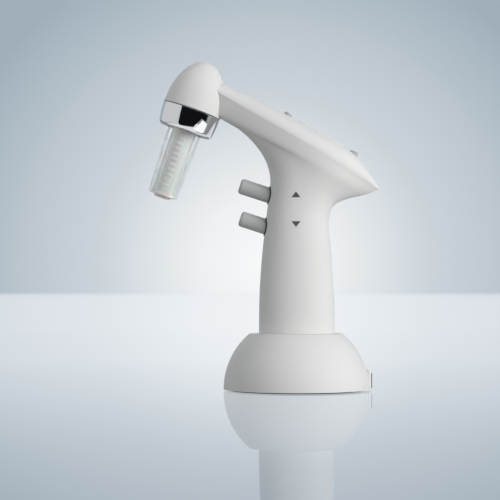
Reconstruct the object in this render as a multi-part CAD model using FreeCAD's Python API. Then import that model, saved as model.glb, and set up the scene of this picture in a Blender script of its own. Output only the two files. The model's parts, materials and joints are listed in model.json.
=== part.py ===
import FreeCAD, Part

import math
import os

from FreeCAD import Placement, Rotation, Vector

# A motorized pipette controller standing in its charging stand. Millimetres.
# +Z is up, +X points to the tail of the handset, -X to its nose, and the origin is the
# centre of the stand's underside. Everything is symmetric about the plane Y = 0 except
# the case screws and the circuit board.

# ---------------------------------------------------------------- driving dimensions
# Stand
DOME_R = 43.3                # outer radius of the dome
DOME_WALL = 2.4
DOME_TOP = 34.2              # height of the flat top
DOME_EDGE_R = 1.2            # rounding round the flat top
PAD_H = 0.8                  # rubber pad under the base
PAD_R = 39.5
PAD_EDGE = 0.3               # chamfer round its underside
BASE_SCREWS = 4              # under the pad
BASE_SCREW_RING_R = 34.0
BASE_PLATE_T = 2.0
BALLAST_T = 4.0
BALLAST_IN_R = 26.0
SOCKET_WALL = 1.8
SOCKET_FLOOR_T = 2.0
SOCKET_GAP = 0.35            # all round, between the grip and its socket
INLET_W = 16.0               # housing of the charger inlet, across
INLET_H = 11.4
INLET_OUT = 1.4              # the housing's back beyond the dome's radius
JACK_W = 10.0
JACK_H = 8.6
JACK_OUT = 0.7               # the jack's face in front of its housing
JACK_R = 2.75
JACK_DEPTH = 9.0
JACK_PIN_R = 0.8

# Grip of the handset
GRIP_BOTTOM = 10.0           # height of the grip's end when it stands in the socket
GRIP_A = 22.7                # half length of the oval at the socket's mouth
GRIP_B = 18.1                # half width there
GRIP_X = 0.6                 # centre of that oval
GRIP_DRAFT = 0.5             # taper from the mouth down to the end
WAIST_DROP = 23.7            # the slimmest height below the tail tip
WAIST_HALF_W = 16.3
SHELL_WALL = 2.2
END_CAP_T = 3.0
END_CAP_REBATE = 0.8         # step in the shells that the end cap seats in

# Arm: measured in its own frame, along the edge line from the tail tip to the head
TAIL_X = 50.0
TAIL_Z = 120.7
ARM_ANGLE = 30.6             # slope of the arm's edge line
ARM_LENGTH = 128.3           # from the tail tip to the arm's end inside the head
ARM_HALF_W = 21.4            # widest half width of the edge line
NECK_HALF_W = 10.7           # half width where the arm meets the head
CROWN_H = 11.0               # height of the top cover above the edge line
NECK_CROWN_H = 6.9
COVER_WALL = 2.0

# Head
HEAD_AT = 121.2              # centre of the head's lower rim, along the arm
HEAD_DROP = 15.15            # and below its edge plane
HEAD_TILT = 19.0             # the nose axis leans back by this much
HEAD_R = 17.4
HEAD_H = 28.9
HEAD_WALL = 2.0
LIP_H = 1.2                  # thin ring between head and collar
LIP_R = 17.7
DUCT_R = 5.0                 # hole from the arm into the head

# Collar and nose
COLLAR_TOP_R = 17.6
COLLAR_END_R = 16.2
COLLAR_H = 13.0
COLLAR_EDGE_R = 3.4
COLLAR_FLOOR_T = 2.4
THREAD_R = 14.6              # major radius of the spigot's thread, as a plain cylinder
THREAD_GAP = 0.25
THREAD_LENGTH = 7.0
SPIGOT_BORE_R = 5.0
SPIGOT_ROOF = 0.6            # top of that bore, on the nose axis
NOSE_TOP_R = 10.25
NOSE_END_R = 8.95
NOSE_LENGTH = 41.0           # visible below the collar
NOSE_WALL = 1.3
NOSE_FLANGE = 2.35           # the flange beyond the tube, all round
NOSE_FLANGE_T = 2.0
PIPETTE_R = 4.1              # mouth of the silicone adapter
ADAPTER_R = 6.5
ADAPTER_LIP = 1.4            # lip below the tube's end
ADAPTER_LIP_R = 4.95
RIB_PITCH = 3.2
RIB_DEPTH = 0.7
RIB_COUNT = 10
FILTER_T = 2.4
FILTER_DROP = 0.6            # filter's top below the tube's flange

# Buttons
BUTTON_R = 4.65
BUTTON_EDGE_R = 1.7
BUTTON_TILT = 18.2           # the buttons point outward and up by this much
BUTTON_STROKE = 5.0
# For each button: its root below the tail tip, and its length outside the grip.
BUTTONS = {"aspirate": (3.7, 18.4), "dispense": (22.5, 15.9)}
BUTTON_INSIDE = 9.0          # length of the cap behind its root
SEAL_GAP = 0.12
SEAL_WALL = 0.7
SEAL_PROUD = 0.5             # of the grip's surface, all round
SEAL_DEPTH = 3.5
VALVE_PIN_R = 1.5
PIN_GAP = 0.08
BLOCK_FRONT = 15.6           # valve block, measured behind the root
BLOCK_LENGTH = 12.6
BLOCK_W = 15.0
BLOCK_MARGIN = 5.8           # block beyond the button axes, up and down

# Power: cells, motor and pump
CELL_R = 7.1
CELL_LENGTH = 49.0
CELL_GAP = 0.35
CELL_BOTTOM = 16.5
TRAY_WALL = 1.2
BOARD_T = 1.6
MOTOR_R = 9.6
MOTOR_LENGTH = 24.0
MOTOR_AT = 33.0              # along the arm from the tail tip
MOTOR_DROP = 3.0             # motor axis below the edge plane
BELL_T = 3.0
SHAFT_R = 1.0
SHAFT_GAP = 0.06
PUMP_LENGTH = 20.0
PUMP_W = 18.0
PUMP_H = 14.0
PUMP_GAP = 1.0
PUMP_CLEAR = 0.1             # between the pump and the half shells
CRANK_R = 3.2
CRANK_OFF = 0.8
CRANK_T = 5.0
DIAPHRAGM_T = 0.9
INTAKE_AT = 2.2              # the pump's intake, from its motor end
TUBE_LINE = -1.0             # line of the nose tube, against the arm's edge plane
VALVE_PLATE_T = 2.4
TUBE_R = 2.0
TUBE_BORE_R = 1.2
TUBE_BEND = 4.5
NIPPLE_LENGTH = 3.0
FIT = 0.05                   # between pieces that are pushed together

# Top details and screws
NUB_R = 2.5
NUB_PROUD = 1.7
NUBS_AT = (23.9, 69.8)       # along the arm from the tail tip
INLAY_W = 15.0
INLAY_PROUD = 0.3
INLAY_T = 0.7
INLAY_ENDS = (31.0, 63.0)
SCREW_R = 1.1
SCREW_HEAD_R = 2.1
SCREW_HEAD_T = 1.3
SCREW_SINK = 2.8             # top of the head below the surface
SCREW_TIP_COVER = 5.5        # plastic left between the screw's tip and the far surface
SCREW_IN_TAIL = 23.0         # along the arm from the tail tip
SCREW_IN_NECK = 98.0
SCREW_DROP = -6.0            # below the arm's edge plane
BOSS_R = 3.0

OUT = "parts"
Y_AXIS = Vector(0, 1, 0)
Z_AXIS = Vector(0, 0, 1)


# ---------------------------------------------------------------- small helpers
def tilted(angle, x, z):
    """A frame at (x, 0, z) whose own +Z leans by angle from up towards +X."""
    return Placement(Vector(x, 0, z), Rotation(Y_AXIS, angle))


def put(shape, frame):
    """The shape, drawn in a frame, in the part's own frame."""
    placed = shape.copy()
    placed.Placement = frame.multiply(placed.Placement)
    return placed


def cylinder(r, z0, z1, x=0.0, y=0.0):
    return Part.makeCylinder(r, z1 - z0, Vector(x, y, z0))


def cone(r0, r1, z0, z1):
    return Part.makeCone(r0, r1, z1 - z0, Vector(0, 0, z0))


def ring(r_out, r_in, z0, z1):
    return cylinder(r_out, z0, z1).cut(cylinder(r_in, z0 - 1, z1 + 1))


def box(x0, x1, y0, y1, z0, z1):
    return Part.makeBox(x1 - x0, y1 - y0, z1 - z0, Vector(x0, y0, z0))


def across(r, y0, y1, x, z):
    """A cylinder along Y."""
    return Part.makeCylinder(r, y1 - y0, Vector(x, y0, z), Y_AXIS)


def rounded(shape, radius, wanted):
    """Fillet the edges that the test wants."""
    return shape.makeFillet(radius, [e for e in shape.Edges if wanted(e)])


def curve(points, **more):
    line = Part.BSplineCurve()
    line.interpolate(Points=list(points), **more)
    return line


def through(stations, values):
    """A smooth function that passes through the values at the stations."""
    points = [Vector(s, v, 0) for s, v in zip(stations, values)]
    line = curve(points, Parameters=list(stations))
    return lambda s: line.value(s).y


def mirrored(shape):
    return shape.mirror(Vector(0, 0, 0), Y_AXIS)


def mean_lengths(lines):
    """Parameters for points on lines, from the mean distance between them."""
    at = [0.0]
    for k in range(len(lines[0]) - 1):
        steps = [(line[k + 1] - line[k]).Length for line in lines]
        at.append(at[-1] + sum(steps) / len(steps))
    return at


def skin_solid(rows):
    """A solid with a smooth skin through rows of points and flat faces elsewhere.

    The two ends of every row lie in one plane, and so does each of the first and last
    rows, so three flat faces close it.
    """
    columns = [list(column) for column in zip(*rows)]
    along = mean_lengths(columns)
    across_rows = mean_lengths(rows)
    lines = [curve(column, Parameters=along) for column in columns]
    poles = []
    for k in range(lines[0].NbPoles):
        line = curve([each.getPole(k + 1) for each in lines], Parameters=across_rows)
        poles.append(line.getPoles())
    surface = Part.BSplineSurface()
    surface.buildFromPolesMultsKnots(
        poles, lines[0].getMultiplicities(), line.getMultiplicities(),
        lines[0].getKnots(), line.getKnots(), False, False, 3, 3,
    )
    first, last = surface.uIso(along[0]).toShape(), surface.uIso(along[-1]).toShape()
    side, other = surface.vIso(across_rows[0]).toShape(), surface.vIso(across_rows[-1]).toShape()
    close_first = Part.makeLine(rows[0][0], rows[0][-1])
    close_last = Part.makeLine(rows[-1][0], rows[-1][-1])
    faces = [surface.toShape()]
    for loop in ([first, close_first], [last, close_last], [side, close_last, other, close_first]):
        faces.append(Part.Face(Part.Wire(Part.__sortEdges__(loop))))
    shell = Part.Shell(faces)
    shell.sewShape()
    solid = Part.Solid(shell)
    if solid.Volume < 0:
        solid.reverse()
    return solid


# ---------------------------------------------------------------- frames
ARM = tilted(ARM_ANGLE - 90.0, TAIL_X, TAIL_Z)      # its +Z runs to the head, its +X is up


def arm_point(s, up=0.0):
    """The place s along the arm's edge line from the tail tip, in the part's frame."""
    return ARM.multVec(Vector(up, 0, s))


head_rim = arm_point(HEAD_AT, -HEAD_DROP)
HEAD = tilted(HEAD_TILT, head_rim.x, head_rim.z)    # its +Z runs up the nose axis


# ---------------------------------------------------------------- handset outline
# Half width of the edge line and height of the crown along the arm, as shares of their
# largest values, between the tail tip and the arm's end inside the head.
neck = NECK_HALF_W / ARM_HALF_W
neck_crown = NECK_CROWN_H / CROWN_H
leaf_share = through(
    [0.0, 0.08, 0.19, 0.33, 0.48, 0.66, 0.86, 1.0],
    [0.0, 0.36, 0.77, 0.99, 0.97, 0.76, neck, 0.94 * neck],
)
crown_share = through(
    [0.0, 0.037, 0.074, 0.128, 0.172, 0.215, 0.27, 0.42, 0.58, 0.73, 0.88, 1.0],
    [0.0, 0.26, 0.48, 0.74, 0.91, 0.98, 1.0, 0.955, 0.90, 0.79, neck_crown, 0.92 * neck_crown],
)

# The body is drawn as rings, from the grip's end up to the arm's edge plane. Each ring
# is a flat slice from a front to a back point, and the slices fan out from level to the
# arm's slope. Each has its front, its back, its half width, its share of the arm's leaf
# outline, and how square its ends are. On the grip a point is given by how much slimmer
# the grip is there than at the socket's mouth, and on the arm by its place along and
# below the edge line.
waist_z = TAIL_Z - WAIST_DROP


def grip_point(side, slimmer, z):
    return Vector(GRIP_X + side * (GRIP_A - slimmer), 0, z)


def up_the_grip(share):
    return DOME_TOP + (waist_z - DOME_TOP) * share


RINGS = [
    (grip_point(-1, GRIP_DRAFT, GRIP_BOTTOM), grip_point(1, GRIP_DRAFT, GRIP_BOTTOM),
     GRIP_B - GRIP_DRAFT, 0.0, 2.0),
    (grip_point(-1, 0.0, DOME_TOP), grip_point(1, 0.0, DOME_TOP), GRIP_B, 0.0, 2.0),
    (grip_point(-1, 0.3, up_the_grip(0.37)), grip_point(1, 0.5, up_the_grip(0.37)),
     GRIP_B - 0.3, 0.0, 2.0),
    (grip_point(-1, 1.7, up_the_grip(0.72)), grip_point(1, 1.9, up_the_grip(0.72)),
     GRIP_B - 1.1, 0.0, 2.0),
    (grip_point(-1, 3.6, waist_z), grip_point(1, 3.5, waist_z), WAIST_HALF_W, 0.0, 2.1),
    (grip_point(-1, 5.7, TAIL_Z - 6.7), grip_point(1, 3.5, TAIL_Z - 17.1),
     WAIST_HALF_W - 0.3, 0.0, 2.2),
    (grip_point(-1, 6.8, TAIL_Z + 5.3), grip_point(1, 1.8, TAIL_Z - 11.9),
     WAIST_HALF_W, 0.04, 2.3),
    (arm_point(65.4, -21.4), arm_point(17.6, -20.5), ARM_HALF_W - 4.5, 0.15, 2.4),
    (arm_point(75.4, -15.7), arm_point(14.8, -16.3), ARM_HALF_W - 3.7, 0.33, 2.5),
    (arm_point(86.8, -12.4), arm_point(11.1, -12.3), ARM_HALF_W - 2.8, 0.55, 2.7),
    (arm_point(99.0, -11.4), arm_point(6.7, -8.3), ARM_HALF_W - 1.9, 0.78, 3.0),
    (arm_point(111.7, -11.5), arm_point(3.2, -4.3), ARM_HALF_W - 1.1, 0.93, 3.5),
    (arm_point(121.0, -6.6), arm_point(1.3, -1.8), ARM_HALF_W - 0.5, 1.0, 5.0),
    (arm_point(ARM_LENGTH), arm_point(0.0), ARM_HALF_W, 1.0, 8.0),
]
RING_POINTS = 16
CROWN_POINTS = 12


def front_x(z):
    """The grip's front at that height."""
    for low, high in zip(RINGS, RINGS[1:]):
        if low[0].z <= z <= high[0].z:
            share = (z - low[0].z) / (high[0].z - low[0].z)
            return low[0].x + (high[0].x - low[0].x) * share
    raise ValueError(f"no front at height {z}")


# One frame per button, at its root on the grip's front, with +Z pointing outwards.
BUTTON = {}
for button_name, (button_drop, _) in BUTTONS.items():
    root_z = TAIL_Z - button_drop
    BUTTON[button_name] = tilted(BUTTON_TILT - 90.0, front_x(root_z), root_z)


def half_ring(front, back, half_w, leaf, square, inset=0.0):
    """Points along half of one slice, Y >= 0, from the front to the back."""
    share = 1.0 - inset / half_w
    points = [front]
    for k in range(1, RING_POINTS):
        q = -math.cos(math.pi * k / RING_POINTS)
        end = math.sqrt(1.0 - abs(q) ** square)
        start = end if q < 0 else 1.0
        w = half_w * ((1.0 - leaf) * end + leaf * start * leaf_share((1.0 - q) / 2.0))
        at = front + (back - front) * ((q + 1.0) / 2.0)
        points.append(Vector(at.x, w * share, at.z))
    points.append(back)
    return points


def inward(points, k, side):
    """The direction into the body at ring k of a silhouette."""
    along = points[min(k + 1, len(points) - 1)] - points[max(k - 1, 0)]
    return Vector(along.z * side, 0, -along.x * side).normalize()


def half_body(inset=0.0):
    """Half of the body below the edge plane, solid, or its hollow if inset."""
    front = [slice_[0] for slice_ in RINGS]
    back = [slice_[1] for slice_ in RINGS]
    rows = []
    for k, (_, _, half_w, leaf, square) in enumerate(RINGS):
        at_front = front[k] + inward(front, k, 1) * inset
        tail_extra = 1.0 + 3.0 * leaf
        at_back = back[k] + inward(back, k, -1) * inset
        at_back = at_back + (at_front - at_back).normalize() * inset * (tail_extra - 1.0)
        rows.append(half_ring(at_front, at_back, half_w, leaf, square, inset))
    return skin_solid(rows)


def oval(gap, z0, z1):
    """The grip's lower end as a solid between two heights, grown by the gap."""
    wires = []
    for z in (z0, z1):
        draft = GRIP_DRAFT * (DOME_TOP - z) / (DOME_TOP - GRIP_BOTTOM)
        a = GRIP_A - draft + gap
        b = GRIP_B - draft + gap
        edge = Part.Ellipse(Vector(GRIP_X, 0, z), a, b).toShape()
        wires.append(Part.Wire([edge]))
    return Part.makeLoft(wires, True, True)


def crown(inset=0.0):
    """The arm above its edge plane, solid, or its hollow if inset."""
    rows = []
    for share in (0.002, 0.03, 0.07, 0.12, 0.19, 0.28, 0.40, 0.55, 0.72, 0.86, 1.0):
        w = ARM_HALF_W * leaf_share(share) - inset
        h = CROWN_H * crown_share(share) - inset
        if w < 2.0 * inset or h < 2.0 * inset:
            continue
        turns = [math.pi * k / CROWN_POINTS for k in range(CROWN_POINTS + 1)]
        s = ARM_LENGTH * share
        rows.append([Vector(h * math.sin(t), w * math.cos(t), s) for t in turns])
        rows[-1][0].x = rows[-1][-1].x = 0.0
    return put(skin_solid(rows), ARM)


def head_solid(inset=0.0):
    """Half an ellipsoid on the nose axis, solid, or its hollow if inset."""
    top = Vector(0, 0, HEAD_H - inset)
    rim = Vector(HEAD_R - inset, 0, 0)
    quarter = Part.Arc(Part.Ellipse(top, rim, Vector(0, 0, 0)), 0.0, math.pi / 2).toShape()
    edges = [quarter, Part.makeLine(rim, Vector(0, 0, 0)), Part.makeLine(Vector(0, 0, 0), top)]
    return put(Part.Face(Part.Wire(edges)).revolve(Vector(0, 0, 0), Z_AXIS, 360), HEAD)


def pipe(points, r_out, r_in, bend):
    """A tube along straight runs in the plane Y = const, with round bends."""
    edges = []
    start = points[0]
    for before, corner, after in zip(points, points[1:], points[2:]):
        to_corner = (corner - before).normalize()
        away = (after - corner).normalize()
        turn = to_corner.getAngle(away)
        cut_back = bend * math.tan(turn / 2)
        enter = corner - to_corner * cut_back
        leave = corner + away * cut_back
        bisector = (away - to_corner).normalize()
        centre = corner + bisector * (bend / math.cos(turn / 2))
        middle = centre - bisector * bend
        edges.append(Part.makeLine(start, enter))
        edges.append(Part.Arc(enter, middle, leave).toShape())
        start = leave
    edges.append(Part.makeLine(start, points[-1]))
    path = Part.Wire(edges)
    direction = (points[1] - points[0]).normalize()
    solids = []
    for r in (r_out, r_in):
        section = Part.Wire([Part.makeCircle(r, points[0], direction)])
        solids.append(path.makePipeShell([section], True, False))
    return solids[0].cut(solids[1])


# ---------------------------------------------------------------- stand
def dome_solid(inset=0.0):
    """The dome's outside, or its hollow if inset."""
    centre_z = PAD_H + 0.2
    ball = Part.makeSphere(DOME_R - inset, Vector(0, 0, centre_z))
    top = DOME_TOP - inset
    low = PAD_H if not inset else PAD_H - 1.0
    return ball.common(cylinder(DOME_R + 1, low, top))


def base_screw_places(turn=45.0):
    for k in range(BASE_SCREWS):
        angle = math.radians(turn + 360.0 * k / BASE_SCREWS)
        yield BASE_SCREW_RING_R * math.cos(angle), BASE_SCREW_RING_R * math.sin(angle)


def inlet_box(grow=0.0):
    """The housing behind the dome, from inside the dome's wall outwards."""
    half = INLET_W / 2 + grow
    return box(DOME_R - 13.0 - grow, DOME_R + INLET_OUT + grow, -half, half,
               PAD_H - (1 if grow else 0), PAD_H + INLET_H + grow)


def socket_floor_z():
    return GRIP_BOTTOM - 0.2


def make_stand():
    parts = {}
    outside = dome_solid()
    outside = rounded(outside, DOME_EDGE_R, lambda e: is_circle_at(e, DOME_TOP))
    shell = outside.cut(dome_solid(DOME_WALL))
    shell = shell.cut(oval(SOCKET_GAP, GRIP_BOTTOM, DOME_TOP + 5))
    parts["stand_shell"] = shell.cut(inlet_box())

    back = DOME_R + INLET_OUT
    housing = rounded(inlet_box(), 1.5, lambda e: e.CenterOfMass.x > back - 0.1
                      and e.CenterOfMass.z > PAD_H + 0.1)
    jack_mid = PAD_H + INLET_H / 2 - 0.3
    jack = box(DOME_R - 11.0, back + JACK_OUT, -JACK_W / 2, JACK_W / 2,
               jack_mid - JACK_H / 2, jack_mid + JACK_H / 2)
    mouth = back + JACK_OUT
    bore = along_x(JACK_R, mouth - JACK_DEPTH, mouth + 1, jack_mid)
    pin = along_x(JACK_PIN_R, mouth - JACK_DEPTH - 1.5, mouth - 0.8, jack_mid)
    parts["inlet_housing"] = housing.cut(jack)
    parts["inlet_jack"] = jack.cut(bore).cut(pin)
    parts["inlet_pin"] = pin

    plate_r = math.sqrt((DOME_R - DOME_WALL) ** 2 - (BASE_PLATE_T + 0.2) ** 2) - 0.2
    plate = cylinder(plate_r, PAD_H, PAD_H + BASE_PLATE_T)
    plate = plate.cut(box(DOME_R - 13.2, DOME_R + 5, -INLET_W / 2 - 0.2, INLET_W / 2 + 0.2, 0, 10))
    screw_top = PAD_H + BASE_PLATE_T + 5.0
    screws = []
    bosses = []
    for x, y in base_screw_places():
        plate = plate.cut(cylinder(SCREW_R + 0.2, 0, 10, x, y))
        head = cylinder(SCREW_HEAD_R, PAD_H, PAD_H + SCREW_HEAD_T, x, y)
        plate = plate.cut(cylinder(SCREW_HEAD_R + 0.2, 0, PAD_H + SCREW_HEAD_T, x, y))
        screws.append(head.fuse(cylinder(SCREW_R, PAD_H + SCREW_HEAD_T, screw_top, x, y)))
        boss = cylinder(BOSS_R, PAD_H + BASE_PLATE_T, DOME_TOP, x, y)
        bosses.append(boss.common(dome_solid(DOME_WALL / 2)))
    for boss, screw in zip(bosses, screws):
        parts["stand_shell"] = parts["stand_shell"].fuse(boss).cut(screw)
    parts["stand_shell"] = parts["stand_shell"].removeSplitter()
    parts["base_plate"] = plate
    parts["base_screws"] = Part.makeCompound(screws)
    pad = cylinder(PAD_R, 0, PAD_H)
    under = [e for e in pad.Edges if is_circle_at(e, 0.0)]
    parts["base_pad"] = pad.makeChamfer(PAD_EDGE, under)

    low = PAD_H + BASE_PLATE_T
    ballast_r = math.sqrt((DOME_R - DOME_WALL) ** 2 - (low + BALLAST_T) ** 2) - 1.0
    ballast = ring(ballast_r, BALLAST_IN_R, low, low + BALLAST_T)
    ballast = ballast.cut(box(BALLAST_IN_R - 2, DOME_R, -INLET_W / 2 - 1, INLET_W / 2 + 1, 0, 20))
    for x, y in base_screw_places():
        ballast = ballast.cut(cylinder(BOSS_R + 0.3, 0, 20, x, y))
    parts["ballast_ring"] = ballast

    floor_z = socket_floor_z()
    cup_top = DOME_TOP - DOME_WALL
    cup_low = floor_z - SOCKET_FLOOR_T
    cup = oval(SOCKET_GAP + SOCKET_WALL, cup_low, cup_top)
    cup = cup.cut(oval(SOCKET_GAP, floor_z, cup_top + 1))
    board_top = low + BOARD_T
    pins = []
    for x in CONTACT_X:
        pins.append(cylinder(1.1, board_top, GRIP_BOTTOM - 0.05, x))
        cup = cup.cut(cylinder(1.5, 0, floor_z + 1, x))
    parts["socket_cup"] = cup
    parts["contact_pins"] = Part.makeCompound(pins)
    holder = box(-CONTACT_X[1] - 4, CONTACT_X[1] + 4, -4, 4, board_top, cup_low)
    for pin in pins:
        holder = holder.cut(pin)
    parts["contact_holder"] = holder
    parts["stand_board"] = box(-20, 20, -13, 13, low, board_top)
    return parts


CONTACT_X = (-8.0, 8.0)


def is_circle_at(edge, z):
    return abs(edge.CenterOfMass.z - z) < 0.01 and abs(edge.BoundBox.ZLength) < 0.01


def along_x(r, x0, x1, z):
    return Part.makeCylinder(r, x1 - x0, Vector(x0, 0, z), Vector(1, 0, 0))


# ---------------------------------------------------------------- handset shells
def button_local(name, shape):
    return put(shape, BUTTON[name])


def case_screws():
    """Screws that pull the two half shells together, from the +Y side."""
    in_tail = arm_point(SCREW_IN_TAIL, SCREW_DROP)
    in_neck = arm_point(SCREW_IN_NECK, SCREW_DROP)
    above_block = BUTTON["aspirate"].multVec(
        Vector(BLOCK_MARGIN + BOSS_R + 1.0, 0, -BLOCK_FRONT - BLOCK_LENGTH)
    )
    cells_top = CELL_BOTTOM + CELL_LENGTH + TRAY_WALL
    return [
        (GRIP_X, cells_top + BOSS_R + 3.0),
        (above_block.x, above_block.z),
        (in_tail.x, in_tail.z),
        (in_neck.x, in_neck.z),
    ]


def pump_room():
    """What the half shells leave free round the pump."""
    half = PUMP_W / 2 + PUMP_CLEAR
    low = -MOTOR_DROP - PUMP_H / 2 - PUMP_CLEAR
    start = MOTOR_AT + MOTOR_LENGTH + PUMP_GAP
    return put(box(low, 5.0 - MOTOR_DROP, -half, half,
                   start - PUMP_CLEAR, start + PUMP_LENGTH + PUMP_CLEAR), ARM)


def make_shells():
    outer = half_body()
    hollow = half_body(SHELL_WALL)
    rebate = oval(END_CAP_REBATE - SHELL_WALL, GRIP_BOTTOM - 1, GRIP_BOTTOM + END_CAP_T)
    left = outer.cut(hollow).cut(rebate)
    under_head = put(cylinder(LIP_R + FIT, -LIP_H - 0.1, 0.0), HEAD)
    left = left.cut(head_solid()).cut(under_head).cut(pump_room())
    right = mirrored(left)

    # screw bosses, split at the plane Y = 0
    outer_right = mirrored(outer)
    screws = []
    for x, z in case_screws():
        boss = across(BOSS_R, 0, 40, x, z).common(outer)
        wall_y = outer.common(across(0.2, 0, 40, x, z)).optimalBoundingBox(False).YMax
        head_y = wall_y - SCREW_SINK
        tip_y = SCREW_TIP_COVER - wall_y
        left = left.fuse(boss).cut(across(SCREW_HEAD_R + 0.25, head_y - SCREW_HEAD_T, 40, x, z))
        left = left.cut(across(SCREW_R + 0.2, -1, 40, x, z))
        right = right.fuse(across(BOSS_R, -40, 0, x, z).common(outer_right))
        right = right.cut(across(SCREW_R, tip_y, 1, x, z))
        screws.append(
            across(SCREW_HEAD_R, head_y - SCREW_HEAD_T, head_y, x, z).fuse(
                across(SCREW_R, tip_y, head_y - SCREW_HEAD_T, x, z)
            )
        )
    for name in BUTTONS:
        opening = button_local(name, cylinder(BUTTON_R + SEAL_GAP + SEAL_WALL, -8, 10))
        left = left.cut(opening)
        right = right.cut(opening)
    return left.removeSplitter(), right.removeSplitter(), Part.makeCompound(screws)


def make_seals():
    """Rubber rings round the buttons that follow the grip's surface."""
    grown = half_body(-SEAL_PROUD)
    seals = []
    for name in BUTTONS:
        inner = BUTTON_R + SEAL_GAP
        sleeve = button_local(name, ring(inner + SEAL_WALL, inner, -SEAL_DEPTH, 3 * SEAL_DEPTH))
        half = sleeve.common(grown)
        seals.append(half.fuse(mirrored(half)).removeSplitter())
    return Part.makeCompound(seals)


def nub_frame(s):
    """Its +Z stands square on the crown at s along the arm."""
    step = 0.5
    rise = [CROWN_H * crown_share((s + d) / ARM_LENGTH) for d in (-step, 0.0, step)]
    slope = math.degrees(math.atan2(rise[2] - rise[0], 2 * step))
    at = arm_point(s, rise[1])
    return tilted(ARM_ANGLE - slope, at.x, at.z)


def make_cover():
    """The top cover with its inlay and rest nubs."""
    head = head_solid()
    outside = crown()
    cover = outside.cut(crown(COVER_WALL)).cut(head)
    nubs = []
    for s in NUBS_AT:
        nub = put(rounded(cylinder(NUB_R, -1.2, NUB_PROUD), 0.5,
                          lambda e: is_circle_at(e, NUB_PROUD)), nub_frame(s))
        nubs.append(nub)
        cover = cover.cut(nub)
    low, high = INLAY_ENDS
    half = INLAY_W / 2
    end_r = half
    strip = box(0, 40, -half, half, low + end_r, high - end_r)
    for s in (low + end_r, high - end_r):
        strip = strip.fuse(Part.makeCylinder(end_r, 40, Vector(0, 0, s), Vector(1, 0, 0)))
    strip = put(strip.removeSplitter(), ARM)
    raise_by = ARM.Rotation.multVec(Vector(INLAY_PROUD, 0, 0))
    sink_by = ARM.Rotation.multVec(Vector(INLAY_PROUD - INLAY_T, 0, 0))
    raised = outside.copy()
    raised.translate(raise_by)
    sunk = outside.copy()
    sunk.translate(sink_by)
    inlay = strip.common(raised).cut(sunk)
    cover = cover.cut(inlay)
    return cover, inlay, Part.makeCompound(nubs)


def make_head():
    """Head cap, the ring under it, and the threaded spigot inside the collar."""
    cap = head_solid().cut(head_solid(HEAD_WALL))
    duct = put(cylinder(DUCT_R, ARM_LENGTH * 0.75, ARM_LENGTH), ARM)
    cap = cap.cut(duct)
    lip = put(ring(LIP_R, THREAD_R - 3.0, -LIP_H, 0), HEAD)
    spigot = cylinder(THREAD_R, -LIP_H - THREAD_LENGTH, -LIP_H)
    spigot = spigot.fuse(cylinder(THREAD_R - 3.0, -LIP_H, 3.0))
    spigot = spigot.cut(cylinder(SPIGOT_BORE_R, -20, SPIGOT_ROOF))
    spigot = spigot.cut(cylinder(TUBE_R + FIT, SPIGOT_ROOF - 1, 10))
    groove = ring(THREAD_R + 1, THREAD_R - 1.4, -LIP_H - 6.2, -LIP_H - 4.4)
    seal = ring(THREAD_R - 0.1, THREAD_R - 1.4, -LIP_H - 6.2, -LIP_H - 4.4)
    return cap, lip, put(spigot.cut(groove), HEAD), put(seal, HEAD)


COLLAR_TOP = -LIP_H - 0.25          # on the nose axis, with a hairline under the lip
COLLAR_END = COLLAR_TOP - COLLAR_H


def make_collar():
    outside = cone(COLLAR_END_R, COLLAR_TOP_R, COLLAR_END, COLLAR_TOP)
    outside = rounded(outside, COLLAR_EDGE_R, lambda e: is_circle_at(e, COLLAR_END))
    outside = rounded(outside, 0.5, lambda e: is_circle_at(e, COLLAR_TOP))
    floor = COLLAR_END + COLLAR_FLOOR_T
    inside = cylinder(THREAD_R + THREAD_GAP, floor, COLLAR_TOP + 1)
    through_hole = cylinder(NOSE_TOP_R + 0.3, COLLAR_END - 1, floor + 1)
    return put(outside.cut(inside).cut(through_hole), HEAD)


def nose_radius(z):
    """Outer radius of the clear tube at z on the nose axis."""
    share = (COLLAR_END - z) / NOSE_LENGTH
    return NOSE_TOP_R + (NOSE_END_R - NOSE_TOP_R) * share


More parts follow.
